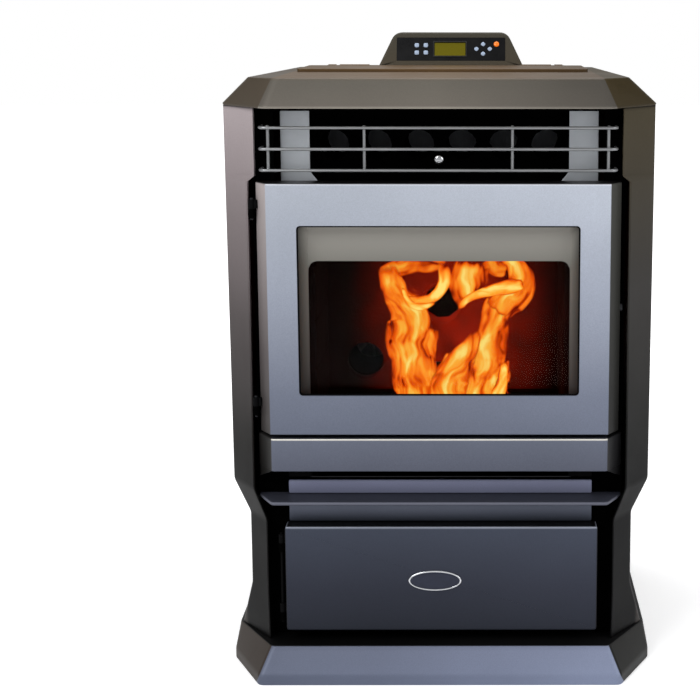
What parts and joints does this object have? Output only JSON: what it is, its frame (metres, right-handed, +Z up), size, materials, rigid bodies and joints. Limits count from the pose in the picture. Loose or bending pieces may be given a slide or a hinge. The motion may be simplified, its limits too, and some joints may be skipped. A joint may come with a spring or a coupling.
{
  "type": "pellet stove",
  "caption": "Free-standing pellet stove on a flared plinth with a bevelled lid, window door, ash drawer, pedestal door, rod grille and rear hopper.",
  "frame": {"origin": "middle of the bounding box's bottom face, on the floor", "axes": "+Z up, +X to the right seen from the front, the door faces -Y"},
  "size_m": [0.564, 0.56, 0.84],
  "materials": {
    "body_paint": "charcoal metallic powder coat",
    "lid_paint": "warm grey metallic powder coat",
    "door_paint": "silvery grey metallic powder coat",
    "black_steel": "matt black heat-proof paint",
    "steel": "bare steel",
    "cast_iron": "grey cast iron, heat darkened",
    "fire_brick": "matt fired clay",
    "glass": "clear glass ceramic",
    "rope_seal": "braided glass-fibre rope",
    "black_plastic": "satin black",
    "screen": "olive liquid-crystal screen",
    "key_plastic": "pale blue-grey keys",
    "lamp": "amber lens",
    "circuit_board": "green laminate",
    "aluminium": "plain sheet and castings",
    "chrome": "polished"
  },
  "bodies": {
    "stove": {"base_plinth": "body_paint", "left_side_panel": "body_paint", "right_side_panel": "body_paint", "rear_panel": "body_paint", "ash_shelf": "body_paint", "top_plate": "lid_paint", "console_housing": "lid_paint", "front_frame": "black_steel", "stove_deck": "black_steel", "heat_exchanger": "black_steel", "flue_collar": "black_steel", "fresh_air_pipe": "black_steel", "hopper_hinge_pin": "steel", "hopper_bin": "steel", "air_outlet_grille": "steel", "upper_door_hinge_pin": "steel", "lower_door_hinge_pin": "steel", "pedestal_hinge_pin": "steel", "feed_tube": "steel", "igniter": "steel", "room_fan_housing": "steel", "firebox_shell": "cast_iron", "baffle_plate": "cast_iron", "burn_pot": "cast_iron", "exhaust_fan_housing": "cast_iron", "back_brick": "fire_brick", "left_brick": "fire_brick", "right_brick": "fire_brick", "hopper_lid_gasket": "rope_seal", "control_fascia": "black_plastic", "power_inlet": "black_plastic", "lcd_window": "screen", "status_lamp": "lamp", "control_board": "circuit_board", "left_outlet_vane": "aluminium", "right_outlet_vane": "aluminium", "auger_motor": "aluminium", "exhaust_motor": "aluminium", "room_fan_motor": "aluminium"},
    "door": {"door_frame": "door_paint", "door_reveal": "cast_iron", "door_glass": "glass", "door_gasket": "rope_seal"},
    "latch": {"door_latch": "steel"},
    "ash_drawer": {"ash_drawer": "body_paint"},
    "pedestal_door": {"pedestal_door": "body_paint", "badge_plate": "chrome"},
    "hopper_lid": {"hopper_lid": "lid_paint"},
    "scraper": {"scraper_rod": "chrome"},
    "auger": {"auger_screw": "steel"},
    "exhaust_wheel": {"exhaust_impeller": "steel"},
    "room_wheel": {"room_fan_impeller": "aluminium"},
    "menu_key_1": {"menu_key_1": "key_plastic"},
    "menu_key_2": {"menu_key_2": "key_plastic"},
    "menu_key_3": {"menu_key_3": "key_plastic"},
    "menu_key_4": {"menu_key_4": "key_plastic"},
    "pad_key_left": {"pad_key_left": "key_plastic"},
    "pad_key_right": {"pad_key_right": "key_plastic"},
    "pad_key_up": {"pad_key_up": "key_plastic"},
    "pad_key_down": {"pad_key_down": "key_plastic"}
  },
  "joints": [
    {"name": "door_hinge", "type": "hinge", "parent": "stove", "child": "door", "pos_m": [-0.238, -0.235, 0.49375], "axis": [0, 0, -1], "range_deg": [0, 110]},
    {"name": "latch_turn", "type": "hinge", "parent": "door", "child": "latch", "pos_m": [0.215, -0.225, 0.49375], "axis": [1, 0, 0], "range_deg": [0, 90]},
    {"name": "ash_drawer_slide", "type": "slide", "parent": "stove", "child": "ash_drawer", "axis": [0, -1, 0], "range_m": [0, 0.16]},
    {"name": "pedestal_door_hinge", "type": "hinge", "parent": "stove", "child": "pedestal_door", "pos_m": [-0.209, -0.235, 0.133], "axis": [0, 0, -1], "range_deg": [0, 100]},
    {"name": "hopper_lid_hinge", "type": "hinge", "parent": "stove", "child": "hopper_lid", "pos_m": [0, 0.1606, 0.7909], "axis": [-1, 0, 0], "range_deg": [0, 75]},
    {"name": "scraper_slide", "type": "slide", "parent": "stove", "child": "scraper", "axis": [0, -1, 0], "range_m": [0, 0.06]},
    {"name": "auger_spin", "type": "hinge", "parent": "stove", "child": "auger", "pos_m": [0, 0.05, 0.47], "axis": [0, 1, 0], "continuous": true},
    {"name": "exhaust_fan_spin", "type": "hinge", "parent": "stove", "child": "exhaust_wheel", "pos_m": [-0.11, 0.135, 0.385], "axis": [0, 1, 0], "continuous": true},
    {"name": "room_fan_spin", "type": "hinge", "parent": "stove", "child": "room_wheel", "pos_m": [0.107, 0.135, 0.35], "axis": [1, 0, 0], "continuous": true},
    {"name": "menu_key_1_press", "type": "slide", "parent": "stove", "child": "menu_key_1", "axis": [0, 0.9333, -0.359], "range_m": [0, 0.0006], "stiffness_N_per_m": 300, "springref_m": -0.0005},
    {"name": "menu_key_2_press", "type": "slide", "parent": "stove", "child": "menu_key_2", "axis": [0, 0.9333, -0.359], "range_m": [0, 0.0006], "stiffness_N_per_m": 300, "springref_m": -0.0005},
    {"name": "menu_key_3_press", "type": "slide", "parent": "stove", "child": "menu_key_3", "axis": [0, 0.9333, -0.359], "range_m": [0, 0.0006], "stiffness_N_per_m": 300, "springref_m": -0.0005},
    {"name": "menu_key_4_press", "type": "slide", "parent": "stove", "child": "menu_key_4", "axis": [0, 0.9333, -0.359], "range_m": [0, 0.0006], "stiffness_N_per_m": 300, "springref_m": -0.0005},
    {"name": "pad_key_left_press", "type": "slide", "parent": "stove", "child": "pad_key_left", "axis": [0, 0.9333, -0.359], "range_m": [0, 0.0006], "stiffness_N_per_m": 300, "springref_m": -0.0005},
    {"name": "pad_key_right_press", "type": "slide", "parent": "stove", "child": "pad_key_right", "axis": [0, 0.9333, -0.359], "range_m": [0, 0.0006], "stiffness_N_per_m": 300, "springref_m": -0.0005},
    {"name": "pad_key_up_press", "type": "slide", "parent": "stove", "child": "pad_key_up", "axis": [0, 0.9333, -0.359], "range_m": [0, 0.0006], "stiffness_N_per_m": 300, "springref_m": -0.0005},
    {"name": "pad_key_down_press", "type": "slide", "parent": "stove", "child": "pad_key_down", "axis": [0, 0.9333, -0.359], "range_m": [0, 0.0006], "stiffness_N_per_m": 300, "springref_m": -0.0005}
  ]
}
